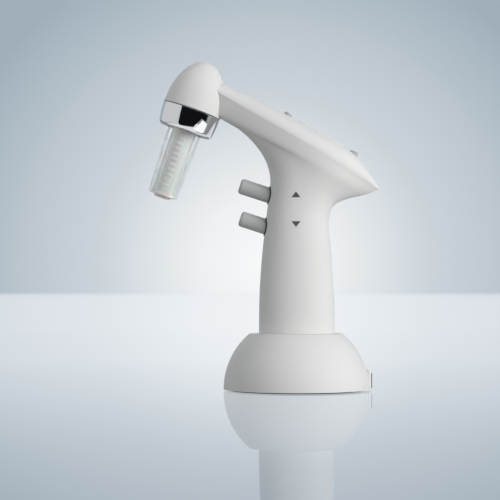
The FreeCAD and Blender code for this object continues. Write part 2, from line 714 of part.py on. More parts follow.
def make_nose():
    """Clear tube with its flange, the silicone adapter in it, and the filter."""
    end = COLLAR_END - NOSE_LENGTH
    floor = COLLAR_END + COLLAR_FLOOR_T + 0.1
    flange_top = floor + NOSE_FLANGE_T
    tube = cone(nose_radius(end), NOSE_TOP_R, end, COLLAR_END)
    tube = tube.fuse(cylinder(NOSE_TOP_R, COLLAR_END, floor + 0.5))
    tube = tube.fuse(cylinder(NOSE_TOP_R + NOSE_FLANGE, floor, flange_top)).removeSplitter()
    tube = rounded(tube, 0.5, lambda e: is_circle_at(e, end))
    bore_end = nose_radius(end) - NOSE_WALL
    bore = cone(bore_end, NOSE_TOP_R - NOSE_WALL, end - 0.01, COLLAR_END)
    bore = bore.fuse(cylinder(NOSE_TOP_R - NOSE_WALL, COLLAR_END, flange_top + 1))
    tube = tube.cut(bore)

    filter_top = flange_top - FILTER_DROP
    low = end - ADAPTER_LIP
    top = filter_top - FILTER_T - 0.1
    adapter = cylinder(ADAPTER_LIP_R, low, end + 1.0)
    adapter = rounded(adapter, 0.6, lambda e: is_circle_at(e, low))
    foot = cylinder(bore_end, end, end + 1.6)
    adapter = adapter.fuse(foot).fuse(cylinder(ADAPTER_R, end + 1.0, top))
    shoulder = cylinder(NOSE_TOP_R - NOSE_WALL - 0.2, COLLAR_END + 0.2, top)
    adapter = adapter.fuse(shoulder).removeSplitter()
    inside = cylinder(PIPETTE_R, low - 1, low + 9.0)
    inside = inside.fuse(cylinder(PIPETTE_R - 0.6, low + 8.9, top + 5))
    first = low + 11.0
    for k in range(RIB_COUNT - 1):
        z = first + RIB_PITCH * k
        pocket = cylinder(PIPETTE_R + RIB_DEPTH, z, z + RIB_PITCH / 2)
        inside = inside.fuse(pocket)
    adapter = adapter.cut(inside)
    disc = cylinder(NOSE_TOP_R - NOSE_WALL - 0.1, filter_top - FILTER_T, filter_top)
    return put(tube, HEAD), put(adapter, HEAD), put(disc, HEAD)


# ---------------------------------------------------------------- inside the handset
def make_power():
    """Cells, their tray, the board and the charge contacts in the grip."""
    parts = {}
    apart = CELL_R + CELL_GAP
    cells = []
    for side in (-1, 1):
        cells.append(cylinder(CELL_R, CELL_BOTTOM, CELL_BOTTOM + CELL_LENGTH, GRIP_X + side * apart))
    parts["battery_cells"] = Part.makeCompound(cells)
    reach = apart + CELL_R + 0.6
    deep = CELL_R + 0.4 + TRAY_WALL
    tray = box(GRIP_X - reach, GRIP_X + reach, 0.5, deep,
               CELL_BOTTOM - TRAY_WALL - 0.1, CELL_BOTTOM + CELL_LENGTH + TRAY_WALL + 0.1)
    for side in (-1, 1):
        tray = tray.cut(cylinder(CELL_R + 0.1, CELL_BOTTOM - 0.1, CELL_BOTTOM + CELL_LENGTH + 0.1,
                                 GRIP_X + side * apart))
    parts["battery_tray"] = tray
    parts["circuit_board"] = box(GRIP_X - 10, GRIP_X + 10, -CELL_R - 2.6 - BOARD_T, -CELL_R - 2.6,
                                 CELL_BOTTOM + 4, CELL_BOTTOM + CELL_LENGTH - 4)
    cap = oval(END_CAP_REBATE - SHELL_WALL - FIT, GRIP_BOTTOM, GRIP_BOTTOM + END_CAP_T - FIT)
    pads = []
    for x in CONTACT_X:
        pad = cylinder(2.6, GRIP_BOTTOM, GRIP_BOTTOM + 1.2, x)
        pads.append(pad)
        cap = cap.cut(pad)
    parts["grip_end_cap"] = cap
    parts["charge_contacts"] = Part.makeCompound(pads)
    return parts


def make_buttons():
    """Each button: a cap you press and the valve pin that it drives into the block."""
    parts = {}
    pin_end = -(BLOCK_FRONT + BUTTON_STROKE)
    for name, (_, reach) in BUTTONS.items():
        cap = cylinder(BUTTON_R, -BUTTON_INSIDE, reach)
        cap = rounded(cap, BUTTON_EDGE_R, lambda e: is_circle_at(e, reach))
        socket = cylinder(VALVE_PIN_R, -BUTTON_INSIDE - 1, -BUTTON_INSIDE + 4)
        pin = cylinder(VALVE_PIN_R, pin_end, -BUTTON_INSIDE + 4)
        parts[name + "_button"] = button_local(name, cap.cut(socket))
        parts[name + "_valve_pin"] = button_local(name, pin)
    return parts


def make_valve_block():
    """One block with a bore for each valve pin and a port to the air tubes."""
    upper = BUTTON["aspirate"]
    offset = upper.inverse().multVec(BUTTON["dispense"].Base)
    front = -BLOCK_FRONT + min(0.0, offset.z)
    back = front - BLOCK_LENGTH
    low_x = offset.x - BLOCK_MARGIN
    block = box(low_x, BLOCK_MARGIN, -BLOCK_W / 2, BLOCK_W / 2, back, front)
    block = put(block, upper)
    depth = BUTTON_STROKE * 2 + 1.5
    for name in BUTTONS:
        bore = cylinder(VALVE_PIN_R + PIN_GAP, -BLOCK_FRONT - depth, 0)
        block = block.cut(button_local(name, bore))
    return block


def make_springs():
    """Return springs' seats: a short coil round each valve pin, against the block."""
    coils = []
    for name in BUTTONS:
        coils.append(button_local(name, ring(3.2, 2.4, -BLOCK_FRONT + 0.02, -BLOCK_FRONT + 0.9)))
    return Part.makeCompound(coils)


def make_pump():
    """Motor, crank and diaphragm pump, laid along the arm."""
    parts = {}
    axis_x = -MOTOR_DROP
    end = MOTOR_AT + MOTOR_LENGTH
    can = cylinder(MOTOR_R, MOTOR_AT + BELL_T, end, axis_x)
    can = rounded(can, 0.8, lambda e: is_circle_at(e, end))
    rotor_hole = cylinder(SHAFT_R + SHAFT_GAP, MOTOR_AT, end + 30, axis_x)
    parts["motor_can"] = can.cut(rotor_hole)
    parts["motor_end_bell"] = cylinder(MOTOR_R, MOTOR_AT, MOTOR_AT + BELL_T, axis_x)
    head_at = end + PUMP_GAP
    crank_at = head_at + 4.0
    shaft = cylinder(SHAFT_R, MOTOR_AT + BELL_T + 1.0, crank_at + CRANK_T - 0.5, axis_x)
    crank = cylinder(CRANK_R, crank_at, crank_at + CRANK_T, axis_x + CRANK_OFF)
    parts["motor_shaft"] = shaft
    parts["crank"] = crank.cut(cylinder(SHAFT_R, crank_at - 1, crank_at + CRANK_T - 0.5, axis_x))
    low = axis_x - PUMP_H / 2
    high = axis_x + PUMP_H / 2
    body = box(low, high, -PUMP_W / 2, PUMP_W / 2, head_at, head_at + PUMP_LENGTH)
    room = cylinder(CRANK_R + CRANK_OFF + 0.6, crank_at - 0.5, crank_at + CRANK_T + 0.5, axis_x)
    body = body.cut(room).cut(cylinder(SHAFT_R + SHAFT_GAP, head_at - 1, crank_at, axis_x))
    split = head_at + PUMP_LENGTH - 6.0
    parts["pump_body"] = body.common(box(-50, 50, -50, 50, head_at - 1, split))
    parts["pump_diaphragm"] = box(low, high, -PUMP_W / 2, PUMP_W / 2, split, split + DIAPHRAGM_T)
    plate_end = split + DIAPHRAGM_T + VALVE_PLATE_T
    parts["pump_valve_plate"] = box(low, high, -PUMP_W / 2, PUMP_W / 2,
                                    split + DIAPHRAGM_T, plate_end)
    nipple_r = TUBE_BORE_R - FIT
    pump_end = head_at + PUMP_LENGTH
    nipple = cylinder(nipple_r, plate_end, pump_end + NIPPLE_LENGTH, TUBE_LINE)
    cover = box(low, high, -PUMP_W / 2, PUMP_W / 2, plate_end, pump_end)
    parts["pump_head"] = cover.fuse(nipple).removeSplitter()
    below = Part.makeCylinder(nipple_r, NIPPLE_LENGTH + 2.0,
                              Vector(low - NIPPLE_LENGTH, 0, head_at + INTAKE_AT), Vector(1, 0, 0))
    parts["pump_body"] = parts["pump_body"].fuse(below).removeSplitter()
    return {name: put(shape, ARM) for name, shape in parts.items()}


def make_air_tubes():
    """Pump to nose, and pump to valve block."""
    pump_end = MOTOR_AT + MOTOR_LENGTH + PUMP_GAP + PUMP_LENGTH
    start = arm_point(pump_end, TUBE_LINE)
    along_arm = ARM.Rotation.multVec(Z_AXIS)
    up_nose = HEAD.Rotation.multVec(Z_AXIS)
    foot = HEAD.multVec(Vector(0, 0, SPIGOT_ROOF))
    # corner where the line along the arm meets the nose axis
    gap = foot - start
    cross = along_arm.x * up_nose.z - along_arm.z * up_nose.x
    reach = (gap.x * up_nose.z - gap.z * up_nose.x) / cross
    corner = start + along_arm * reach
    to_nose = pipe([start, corner, foot], TUBE_R, TUBE_BORE_R, TUBE_BEND)

    head_at = MOTOR_AT + MOTOR_LENGTH + PUMP_GAP
    intake = arm_point(head_at + INTAKE_AT, -MOTOR_DROP - PUMP_H / 2)
    under = arm_point(head_at + INTAKE_AT, -MOTOR_DROP - PUMP_H / 2 - 7.0)
    block = BUTTON["aspirate"]
    middle = -BLOCK_FRONT - BLOCK_LENGTH / 2
    port = block.multVec(Vector(BLOCK_MARGIN, 0, middle))
    above = block.multVec(Vector(BLOCK_MARGIN + 6.0, 0, middle))
    to_block = pipe([port, above, under, intake], TUBE_R, TUBE_BORE_R, TUBE_BEND - 1.0)
    return to_nose, to_block


def write(parts):
    os.makedirs(OUT, exist_ok=True)
    for name, shape in parts.items():
        shape.exportStep(os.path.join(OUT, name + ".step"))
        solids = len(shape.Solids)
        valid = "ok" if shape.isValid() and solids else "NOT VALID"
        bounds = shape.BoundBox
        print(f"{name:22s} {solids:2d} {shape.Volume:10.1f} mm3 {valid} "
              f"x {bounds.XMin:.1f}..{bounds.XMax:.1f} y {bounds.YMin:.1f}..{bounds.YMax:.1f} "
              f"z {bounds.ZMin:.1f}..{bounds.ZMax:.1f}")


def main():
    parts = make_stand()
    left, right, screws = make_shells()
    parts["handle_shell_left"] = left
    parts["handle_shell_right"] = right
    parts["case_screws"] = screws
    parts["button_seals"] = make_seals()
    parts["top_cover"], parts["top_inlay"], parts["rest_nubs"] = make_cover()
    (parts["head_cap"], parts["head_ring"],
     parts["nose_spigot"], parts["spigot_seal"]) = make_head()
    parts["chrome_collar"] = make_collar()
    parts["nose_tube"], parts["pipette_adapter"], parts["air_filter"] = make_nose()
    parts.update(make_power())
    parts.update(make_buttons())
    parts["valve_block"] = make_valve_block()
    parts["spring_seats"] = make_springs()
    parts.update(make_pump())
    parts["air_tube_nose"], parts["air_tube_valve"] = make_air_tubes()
    write(parts)


main()
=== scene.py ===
import json
import math

import bpy
from bpy.props import FloatProperty, FloatVectorProperty, IntProperty, PointerProperty
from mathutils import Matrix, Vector


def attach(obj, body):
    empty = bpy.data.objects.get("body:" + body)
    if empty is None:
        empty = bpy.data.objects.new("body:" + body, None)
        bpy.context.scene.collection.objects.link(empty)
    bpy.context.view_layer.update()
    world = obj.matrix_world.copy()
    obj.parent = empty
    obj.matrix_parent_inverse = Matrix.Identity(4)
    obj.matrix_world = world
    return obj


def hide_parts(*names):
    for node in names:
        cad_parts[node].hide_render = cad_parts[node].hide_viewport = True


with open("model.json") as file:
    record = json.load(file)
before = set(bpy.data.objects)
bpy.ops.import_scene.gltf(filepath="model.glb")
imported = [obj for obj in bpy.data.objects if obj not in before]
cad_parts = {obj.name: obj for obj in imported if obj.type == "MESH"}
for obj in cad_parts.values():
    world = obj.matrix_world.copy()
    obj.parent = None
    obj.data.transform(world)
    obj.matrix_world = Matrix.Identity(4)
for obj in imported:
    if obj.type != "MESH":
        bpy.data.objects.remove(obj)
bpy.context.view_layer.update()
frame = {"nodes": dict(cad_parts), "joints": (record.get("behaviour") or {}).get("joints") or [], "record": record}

bl_info = {
    "name": "Pipette controller finish",
    "version": (1, 0, 0),
    "blender": (4, 5, 0),
    "location": "View3D > Sidebar > Pipette controller",
    "description": "Finishes, printed marks and studio for a motorized pipette controller",
    "category": "Object",
}

MM = 0.001
NODES = frame["nodes"]


def joint(name):
    """The joint of that name, as the frame gives it."""
    return next(each for each in frame["joints"] if each["name"] == name)


NOSE_DOWN = Vector(joint("nose_out")["axis"])
COLLAR_MIDDLE = Vector(joint("collar_turn")["pos_m"])


# ---------------------------------------------------------------- settings
class ControllerSizes(bpy.types.PropertyGroup):
    """Sizes of what is drawn on the frame, in metres."""

    arrow_width: FloatProperty(
        name="Arrow width", description="Width of each printed arrow",
        default=5.3 * MM, unit="LENGTH",
    )
    arrow_height: FloatProperty(
        name="Arrow height", description="Height of each printed arrow",
        default=3.4 * MM, unit="LENGTH",
    )
    print_height: FloatProperty(
        name="Print thickness", description="How proud the printed ink stands",
        default=0.04 * MM, unit="LENGTH",
    )
    collar_top_radius: FloatProperty(
        name="Collar top radius", description="Outer radius of the collar under the head",
        default=17.6 * MM, unit="LENGTH",
    )
    collar_end_radius: FloatProperty(
        name="Collar end radius", description="Outer radius that the collar narrows to",
        default=16.2 * MM, unit="LENGTH",
    )
    collar_height: FloatProperty(
        name="Collar height", description="Height of the collar along the nose axis",
        default=13.0 * MM, unit="LENGTH",
    )
    collar_edge: FloatProperty(
        name="Collar edge", description="Rounding of the collar's lower edge",
        default=3.4 * MM, unit="LENGTH",
    )
    collar_floor: FloatProperty(
        name="Collar floor", description="Thickness of the collar's floor",
        default=2.4 * MM, unit="LENGTH",
    )
    collar_bore: FloatProperty(
        name="Collar bore", description="Radius of the bore round the spigot",
        default=14.85 * MM, unit="LENGTH",
    )
    nose_hole: FloatProperty(
        name="Nose hole", description="Radius of the hole that the clear tube passes",
        default=10.55 * MM, unit="LENGTH",
    )
    adapter_radius: FloatProperty(
        name="Adapter radius", description="Outer radius of the sleeve on the silicone adapter",
        default=7.3 * MM, unit="LENGTH",
    )
    sleeve_wall: FloatProperty(
        name="Sleeve wall", description="Thickness of the sleeve that carries the ribs",
        default=0.75 * MM, unit="LENGTH",
    )
    sleeve_top: FloatProperty(
        name="Sleeve top", description="Height of the sleeve's top from the collar's middle",
        default=-6.6 * MM, unit="LENGTH",
    )
    sleeve_end: FloatProperty(
        name="Sleeve end", description="Height of the sleeve's lower end from the collar's middle",
        default=-46.2 * MM, unit="LENGTH",
    )
    rib_count: IntProperty(
        name="Ribs", description="Ribs in each row on the adapter", default=10, min=1,
    )
    rib_pitch: FloatProperty(
        name="Rib pitch", description="From one rib to the next",
        default=3.2 * MM, unit="LENGTH",
    )
    rib_height: FloatProperty(
        name="Rib height", description="Height of each rib along the adapter",
        default=1.5 * MM, unit="LENGTH",
    )
    rib_half_width: FloatProperty(
        name="Rib half width", description="Half the width of each rib",
        default=2.3 * MM, unit="LENGTH",
    )
    rib_proud: FloatProperty(
        name="Rib depth", description="How proud the ribs stand",
        default=0.32 * MM, unit="LENGTH",
    )
    rib_start: FloatProperty(
        name="First rib", description="Height of the first rib from the collar's middle",
        default=-12.5 * MM, unit="LENGTH",
    )


class ControllerFinishes(bpy.types.PropertyGroup):
    """Colours of the finishes, linear."""

    shell_white: FloatVectorProperty(
        name="Shell white", description="Moulded shells, cover, head and stand",
        default=(0.80, 0.80, 0.785), size=3, subtype="COLOR",
    )
    button_grey: FloatVectorProperty(
        name="Button grey", description="Buttons and rest nubs",
        default=(0.50, 0.50, 0.50), size=3, subtype="COLOR",
    )
    arrow_grey: FloatVectorProperty(
        name="Arrow grey", description="Printed arrows",
        default=(0.10, 0.10, 0.11), size=3, subtype="COLOR",
    )
    silicone_grey: FloatVectorProperty(
        name="Silicone grey", description="Pipette adapter",
        default=(0.93, 0.875, 0.84), size=3, subtype="COLOR",
    )


def sizes():
    return bpy.context.scene.controller_sizes


def finishes():
    return bpy.context.scene.controller_finishes


# ---------------------------------------------------------------- material tools
class Recipe:
    """A material with one principled shader and a few procedural layers on it."""

    def __init__(self, name, colour, roughness, metallic=0.0):
        self.material = bpy.data.materials.new(name)
        self.material.use_nodes = True
        self.tree = self.material.node_tree
        self.shader = self.tree.nodes["Principled BSDF"]
        self.colour = tuple(colour) + (1.0,)
        self.set("Base Color", self.colour)
        self.set("Roughness", roughness)
        self.set("Metallic", metallic)
        self.place = self.tree.nodes.new("ShaderNodeTexCoord").outputs["Object"]
        self.normal = None

    def set(self, socket, value):
        self.shader.inputs[socket].default_value = value

    def link(self, source, target):
        self.tree.links.new(source, target)

    def noise(self, scale, detail=3.0, stretch=(1.0, 1.0, 1.0)):
        node = self.tree.nodes.new("ShaderNodeTexNoise")
        node.inputs["Scale"].default_value = scale
        node.inputs["Detail"].default_value = detail
        mapping = self.tree.nodes.new("ShaderNodeMapping")
        mapping.inputs["Scale"].default_value = stretch
        self.link(self.place, mapping.inputs["Vector"])
        self.link(mapping.outputs["Vector"], node.inputs["Vector"])
        return node.outputs["Fac"]

    def bump(self, height, strength, distance):
        node = self.tree.nodes.new("ShaderNodeBump")
        node.inputs["Strength"].default_value = strength
        node.inputs["Distance"].default_value = distance
        self.link(height, node.inputs["Height"])
        if self.normal:
            self.link(self.normal, node.inputs["Normal"])
        self.normal = node.outputs["Normal"]
        self.link(self.normal, self.shader.inputs["Normal"])

    def vary_roughness(self, source, low, high):
        node = self.tree.nodes.new("ShaderNodeMapRange")
        node.inputs["From Min"].default_value = 0.3
        node.inputs["From Max"].default_value = 0.7
        node.inputs["To Min"].default_value = low
        node.inputs["To Max"].default_value = high
        self.link(source, node.inputs["Value"])
        self.link(node.outputs["Result"], self.shader.inputs["Roughness"])

    def vary_colour(self, source, low_share, high_share=1.0):
        """Blend between darker and lighter shares of the colour."""
        ramp = self.tree.nodes.new("ShaderNodeValToRGB")
        ramp.color_ramp.elements[0].position = 0.35
        ramp.color_ramp.elements[1].position = 0.65
        for element, share in zip(ramp.color_ramp.elements, (low_share, high_share)):
            element.color = tuple(c * share for c in self.colour[:3]) + (1.0,)
        self.link(source, ramp.inputs["Fac"])
        self.link(ramp.outputs["Color"], self.shader.inputs["Base Color"])


def spark_grain(recipe, depth):
    """The fine spark-eroded texture of a matte moulding."""
    recipe.bump(recipe.noise(2600.0, 2.0), 0.35, depth)
    recipe.vary_roughness(recipe.noise(900.0, 2.0), 0.46, 0.60)


def moulded_white():
    recipe = Recipe("moulded_white", finishes().shell_white, 0.52)
    spark_grain(recipe, 0.05 * MM)
    recipe.vary_colour(recipe.noise(18.0, 2.0), 0.985)
    recipe.set("Specular IOR Level", 0.35)
    return recipe.material


def button_grey():
    recipe = Recipe("button_grey", finishes().button_grey, 0.5)
    recipe.bump(recipe.noise(1800.0, 2.0), 0.25, 0.04 * MM)
    recipe.vary_roughness(recipe.noise(300.0), 0.45, 0.58)
    recipe.vary_colour(recipe.noise(120.0), 0.96)
    return recipe.material


def arrow_ink():
    recipe = Recipe("arrow_ink", finishes().arrow_grey, 0.55)
    recipe.vary_colour(recipe.noise(900.0), 0.9)
    return recipe.material


def polished_chrome():
    recipe = Recipe("polished_chrome", (0.86, 0.87, 0.89), 0.05, 1.0)
    recipe.vary_roughness(recipe.noise(90.0), 0.035, 0.07)
    recipe.bump(recipe.noise(45.0, 1.0), 0.04, 0.05 * MM)
    return recipe.material


def clear_tube():
    recipe = Recipe("clear_tube", (0.985, 0.99, 0.99), 0.06)
    recipe.set("Transmission Weight", 1.0)
    recipe.set("IOR", 1.49)
    recipe.set("Alpha", 0.35)
    recipe.vary_roughness(recipe.noise(120.0), 0.04, 0.09)
    return recipe.material


def soft_silicone():
    recipe = Recipe("soft_silicone", finishes().silicone_grey, 0.42)
    recipe.set("Subsurface Weight", 0.5)
    recipe.set("Subsurface Scale", 2.0 * MM)
    recipe.bump(recipe.noise(700.0), 0.15, 0.03 * MM)
    recipe.vary_roughness(recipe.noise(90.0), 0.36, 0.48)
    return recipe.material


def shaded_rib_silicone():
    """The same silicone where it is thick, as a darker copy: painted shade for the dark bands of the ribs, where
    less light comes through.
    """
    # Painted shade: 0.93 of the silicone's colour, so the ribs read darker than the sleeve.
    shaded = [0.93 * c for c in finishes().silicone_grey]
    recipe = Recipe("shaded_rib_silicone", shaded, 0.42)
    recipe.bump(recipe.noise(700.0), 0.15, 0.03 * MM)
    recipe.vary_roughness(recipe.noise(90.0), 0.36, 0.48)
    return recipe.material


def black_rubber():
    recipe = Recipe("black_rubber", (0.035, 0.035, 0.037), 0.6)
    recipe.bump(recipe.noise(900.0), 0.3, 0.05 * MM)
    recipe.vary_roughness(recipe.noise(120.0), 0.52, 0.68)
    return recipe.material


def black_moulding():
    recipe = Recipe("black_moulding", (0.16, 0.16, 0.165), 0.4)
    spark_grain(recipe, 0.03 * MM)
    return recipe.material


def plain_moulding():
    recipe = Recipe("plain_moulding", (0.45, 0.46, 0.48), 0.5)
    spark_grain(recipe, 0.04 * MM)
    return recipe.material


def turned_steel():
    recipe = Recipe("turned_steel", (0.60, 0.61, 0.63), 0.3, 1.0)
    recipe.bump(recipe.noise(500.0, 2.0, (1.0, 1.0, 12.0)), 0.12, 0.02 * MM)
    recipe.vary_roughness(recipe.noise(200.0), 0.24, 0.38)
    return recipe.material


def plated_brass():
    recipe = Recipe("plated_brass", (0.83, 0.62, 0.27), 0.25, 1.0)
    recipe.vary_roughness(recipe.noise(250.0), 0.18, 0.34)
    return recipe.material


def circuit_green():
    recipe = Recipe("circuit_green", (0.03, 0.20, 0.09), 0.35)
    recipe.vary_colour(recipe.noise(400.0), 0.7)
    return recipe.material


def cell_wrap():
    recipe = Recipe("cell_wrap", (0.08, 0.20, 0.42), 0.3)
    recipe.vary_roughness(recipe.noise(150.0), 0.24, 0.36)
    return recipe.material


def filter_felt():
    recipe = Recipe("filter_felt", (0.82, 0.82, 0.80), 0.85)
    recipe.bump(recipe.noise(1500.0), 0.5, 0.08 * MM)
    return recipe.material


FINISH_OF_SLOT = {
    "white_plastic": moulded_white,
    "grey_plastic": button_grey,
    "inner_plastic": plain_moulding,
    "black_rubber": black_rubber,
    "black_plastic": black_moulding,
    "steel": turned_steel,
    "brass": plated_brass,
    "circuit_laminate": circuit_green,
    "cell_wrap": cell_wrap,
    "clear_plastic": clear_tube,
    "silicone": soft_silicone,
    "filter_membrane": filter_felt,
    "chrome": polished_chrome,
}
MADE = {}


def finish(maker):
    """The material that a maker function makes, made once."""
    if maker not in MADE:
        MADE[maker] = maker()
    return MADE[maker]


def dress(piece, maker):
    piece.data.materials.clear()
    piece.data.materials.append(finish(maker))


def select_only(*pieces):
    """Select these pieces alone, the first of them active."""
    bpy.ops.object.select_all(action="DESELECT")
    for piece in pieces:
        piece.select_set(True)
    if pieces:
        bpy.context.view_layer.objects.active = pieces[0]


# ---------------------------------------------------------------- the frame's own nodes
class PIPETTE_OT_finish_frame(bpy.types.Operator):
    """Give every node of the frame its finish"""

    bl_idname = "pipette.finish_frame"
    bl_label = "Finish the frame"

    def execute(self, context):
        for part in frame["record"]["subparts"]:
            dress(NODES[part["node"]], FINISH_OF_SLOT[part["material_slot"]])
        return {"FINISHED"}


# ---------------------------------------------------------------- printed arrows
WELL_OUTSIDE = 0.2           # where the rays towards a shell start, from its middle
ARROW_X = -0.3 * MM          # middle of both arrows
UP_BASE_Z = 115.1 * MM
DOWN_BASE_Z = 100.9 * MM
ARROW_ROWS = 12
POINTED = 0.995              # share of the width lost at the tip
INK_BODY = 2.5               # ink thickness, as a share of how proud it stands


def shell_hit(node, x, z, side):
    """The point on a shell's outside at x, z, seen along Y from that side."""
    start = Vector((x, side * WELL_OUTSIDE, z))
    found, where, _, _ = NODES[node].ray_cast(start, Vector((0, -side, 0)))
    if not found:
        raise RuntimeError(f"no surface on {node} at {x}, {z}")
    return where


class PIPETTE_OT_print_arrows(bpy.types.Operator):
    """Print an up and a down arrow beside the buttons, on both sides of the grip"""

    bl_idname = "pipette.print_arrows"
    bl_label = "Print the arrows"

    def execute(self, context):
        for side, shell in ((-1, "handle_shell_right"), (1, "handle_shell_left")):
            hand = "right" if side < 0 else "left"
            for name, base_z, rise in (("up", UP_BASE_Z, 1), ("down", DOWN_BASE_Z, -1)):
                self.arrow(f"arrow_{name}_{hand}", shell, side, base_z, rise)
        return {"FINISHED"}

    def arrow(self, name, shell, side, base_z, rise):
        size = sizes()
        tip_z = base_z + rise * size.arrow_height
        select_only()
        bpy.ops.mesh.primitive_grid_add(
            x_subdivisions=ARROW_ROWS, y_subdivisions=ARROW_ROWS, size=1.0
        )
        piece = bpy.context.object
        piece.name = name
        for vertex in piece.data.vertices:
            up = vertex.co.y + 0.5
            x = ARROW_X + size.arrow_width * vertex.co.x * (1.0 - POINTED * up)
            z = base_z + (tip_z - base_z) * up
            at = shell_hit(shell, x, z, side)
            vertex.co = at + Vector((0, side * size.print_height, 0))
        bpy.ops.object.mode_set(mode="EDIT")
        bpy.ops.mesh.select_all(action="SELECT")
        bpy.ops.mesh.remove_doubles(threshold=0.00001)
        bpy.ops.mesh.normals_make_consistent(inside=False)
        bpy.ops.object.mode_set(mode="OBJECT")
        if piece.data.polygons[0].normal.y * side < 0:
            piece.data.flip_normals()
        body = piece.modifiers.new("ink", "SOLIDIFY")
        body.thickness = INK_BODY * size.print_height
        body.offset = -1.0
        bpy.ops.object.modifier_apply(modifier="ink")
        dress(piece, arrow_ink)
        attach(piece, "handset")


# ---------------------------------------------------------------- turned and repeated pieces
def stand_on_nose_axis(piece):
    """Turn a piece drawn on +Z onto the nose axis, and apply its place."""
    select_only(piece)
    piece.rotation_mode = "QUATERNION"
    piece.rotation_quaternion = Vector((0, 0, 1)).rotation_difference(-NOSE_DOWN)
    piece.location = COLLAR_MIDDLE
    bpy.ops.object.transform_apply(location=True, rotation=True, scale=True)


def turned(name, profile, segments=128):
    """A ring turned from a closed profile of (radius, height), drawn on +Z."""
    select_only()
    first_r, first_z = profile[0]
    bpy.ops.mesh.primitive_circle_add(vertices=segments, radius=first_r, location=(0, 0, first_z))
    piece = bpy.context.object
    piece.name = name
    bpy.ops.object.transform_apply(location=True)
    bpy.ops.object.mode_set(mode="EDIT")
    bpy.ops.mesh.select_all(action="SELECT")
    radius, height = first_r, first_z
    for next_r, next_z in profile[1:] + profile[:1]:
        bpy.ops.mesh.extrude_edges_move(
            TRANSFORM_OT_translate={"value": (0, 0, next_z - height)}
        )
        share = next_r / radius
        bpy.ops.transform.resize(value=(share, share, 1.0), center_override=(0, 0, next_z))
        radius, height = next_r, next_z
    bpy.ops.mesh.select_all(action="SELECT")
    bpy.ops.mesh.remove_doubles(threshold=0.000005)
    bpy.ops.mesh.normals_make_consistent(inside=False)
    bpy.ops.object.mode_set(mode="OBJECT")
    bpy.ops.object.shade_smooth_by_angle(angle=math.radians(32))
    return piece


def arc(centre_r, centre_z, radius, start, end, steps=10):
    """Points along part of a circle in a profile, in degrees."""
    turns = [math.radians(start + (end - start) * k / steps) for k in range(steps + 1)]
    return [(centre_r + radius * math.cos(a), centre_z + radius * math.sin(a)) for a in turns]


BARREL_STEPS = 14
EDGE_SHARE = 0.86            # part of the lower edge's radius that the side gives up
COLLAR_TOP_EDGE = 0.45 * MM
SLEEVE_EDGE = 0.3 * MM
RIB_ROOT = 0.05 * MM         # how far a rib reaches into the sleeve
RIB_EDGE = 0.14 * MM
RAIL_GAP = 0.9 * MM          # from the ribs' ends to the middle of a rail
RAIL_HALF_WIDTH = 0.25 * MM


class PIPETTE_OT_turn_collar(bpy.types.Operator):
    """Turn the chromed collar, slightly barrelled, with its soft lower edge"""

    bl_idname = "pipette.turn_collar"
    bl_label = "Turn the collar"

    def execute(self, context):
        size = sizes()
        top, end = size.collar_top_radius, size.collar_end_radius
        half = size.collar_height / 2
        edge = size.collar_edge
        outside = []
        for k in range(BARREL_STEPS + 1):
            t = k / BARREL_STEPS * (1.0 - edge / size.collar_height * EDGE_SHARE)
            outside.append((top - (top - end) * t * t, half - size.collar_height * t))
        last_r, last_z = outside[-1]
        squeeze = (last_z + half) / edge
        lower = []
        for r, z in arc(last_r - edge, last_z, edge, -12, -90):
            lower.append((r, -half + (z + half) * squeeze if z > -half else -half))
        floor_z = -half + size.collar_floor
        soft = COLLAR_TOP_EDGE
        profile = (
            arc(top - soft, half - soft, soft, 80, 10, 4) + outside[1:] + lower[1:]
            + [(size.nose_hole, -half), (size.nose_hole, floor_z),
               (size.collar_bore, floor_z), (size.collar_bore, half)]
        )
        collar = turned("chromed_collar", profile)
        stand_on_nose_axis(collar)
        dress(collar, polished_chrome)
        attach(collar, "collar")
        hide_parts("chrome_collar")
        return {"FINISHED"}


